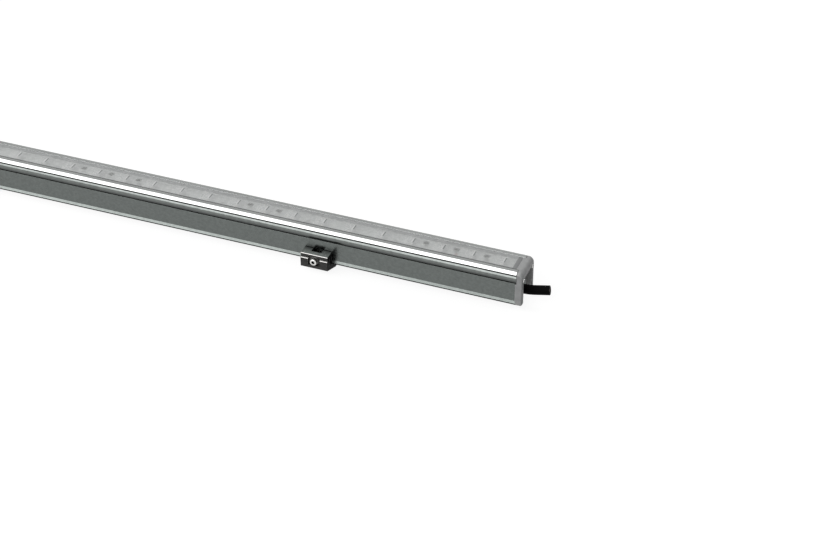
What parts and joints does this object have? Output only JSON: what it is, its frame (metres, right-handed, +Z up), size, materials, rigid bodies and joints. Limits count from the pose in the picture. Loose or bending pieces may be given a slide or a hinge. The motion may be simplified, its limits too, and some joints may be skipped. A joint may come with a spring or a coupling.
{
  "type": "outdoor wall washer light",
  "caption": "Slim linear wall washer: aluminium bar with a flush lens over a row of LEDs, open lower channel, end caps, cable stub and sliding screw clamps.",
  "frame": {"origin": "on the mounting plane, midway between the two wall screw holes in the clamps", "axes": "+X along the bar towards the cable end, +Y away from the clamp screws, +Z up through the lens, out of the mounting plane"},
  "size_m": [1.2181, 0.0406, 0.0366],
  "materials": {
    "anodised_aluminium": "natural anodised extrusion, fine lines along its length, polished bevels",
    "lens": "flat clear lens with a faint haze",
    "seal_rubber": "dark silicone rubber, satin",
    "heat_pad": "soft grey-blue heat pad",
    "circuit_board": "white solder resist over an aluminium core",
    "led_package": "white package with a yellow phosphor dome",
    "optic": "clear moulded optic",
    "white_plastic": "white moulded connector",
    "black_epoxy": "black epoxy chip package",
    "grey_silicone": "cast grey silicone",
    "cap_metal": "light grey satin die casting",
    "stainless": "stainless fastener, satin",
    "black_nylon": "black moulded nylon, fine grain",
    "cable_rubber": "black rubber cable jacket, satin",
    "wire_jacket": "red and black wire jackets with solder",
    "black_anodised": "black anodised extrusion with a brown cast, sawn ends"
  },
  "bodies": {
    "bar": {"housing": "anodised_aluminium", "lens_cover": "lens", "lens_seal": "seal_rubber", "heat_pad": "heat_pad", "led_board_1": "circuit_board", "led_board_2": "circuit_board", "led_board_3": "circuit_board", "led_board_4": "circuit_board", "leds_1": "led_package", "leds_2": "led_package", "leds_3": "led_package", "leds_4": "led_package", "optics_1": "optic", "optics_2": "optic", "optics_3": "optic", "optics_4": "optic", "board_links": "white_plastic", "driver_chips": "black_epoxy", "chamber_seal_left": "grey_silicone", "chamber_seal_right": "grey_silicone", "cap_gasket_left": "seal_rubber", "cap_gasket_right": "seal_rubber", "end_cap_left": "cap_metal", "end_cap_right": "cap_metal", "cap_screws_left": "stainless", "cap_screws_right": "stainless", "gland_body": "black_nylon", "gland_screws": "stainless", "gland_seal": "seal_rubber", "gland_nut": "black_nylon", "inner_cable": "cable_rubber", "lead_wires": "wire_jacket", "power_cord": "cable_rubber"},
    "clamp_left": {"clamp_base_left": "black_anodised", "clamp_nut_left": "stainless"},
    "jaw_left": {"clamp_jaw_left": "black_anodised", "clamp_washer_left": "stainless"},
    "bolt_left": {"clamp_bolt_left": "stainless"},
    "clamp_right": {"clamp_base_right": "black_anodised", "clamp_nut_right": "stainless"},
    "jaw_right": {"clamp_jaw_right": "black_anodised", "clamp_washer_right": "stainless"},
    "bolt_right": {"clamp_bolt_right": "stainless"}
  },
  "joints": [
    {"name": "clamp_left_slide", "type": "slide", "parent": "bar", "child": "clamp_left", "axis": [1, 0, 0], "range_m": [-0.148, 0.4]},
    {"name": "jaw_left_slide", "type": "slide", "parent": "clamp_left", "child": "jaw_left", "axis": [0, -1, 0], "range_m": [0, 0.0015]},
    {"name": "bolt_left_turn", "type": "hinge", "parent": "jaw_left", "child": "bolt_left", "pos_m": [-0.433, -0.0215, 0.0122], "axis": [0, -1, 0], "range_deg": [0, 1080]},
    {"name": "clamp_right_slide", "type": "slide", "parent": "bar", "child": "clamp_right", "axis": [1, 0, 0], "range_m": [-0.4, 0.148]},
    {"name": "jaw_right_slide", "type": "slide", "parent": "clamp_right", "child": "jaw_right", "axis": [0, -1, 0], "range_m": [0, 0.0015]},
    {"name": "bolt_right_turn", "type": "hinge", "parent": "jaw_right", "child": "bolt_right", "pos_m": [0.433, -0.0215, 0.0122], "axis": [0, -1, 0], "range_deg": [0, 1080]}
  ],
  "couplings": [
    {"joint": "bolt_left_turn", "follows": "jaw_left_slide", "rad_per_m": 12566},
    {"joint": "bolt_right_turn", "follows": "jaw_right_slide", "rad_per_m": 12566}
  ]
}
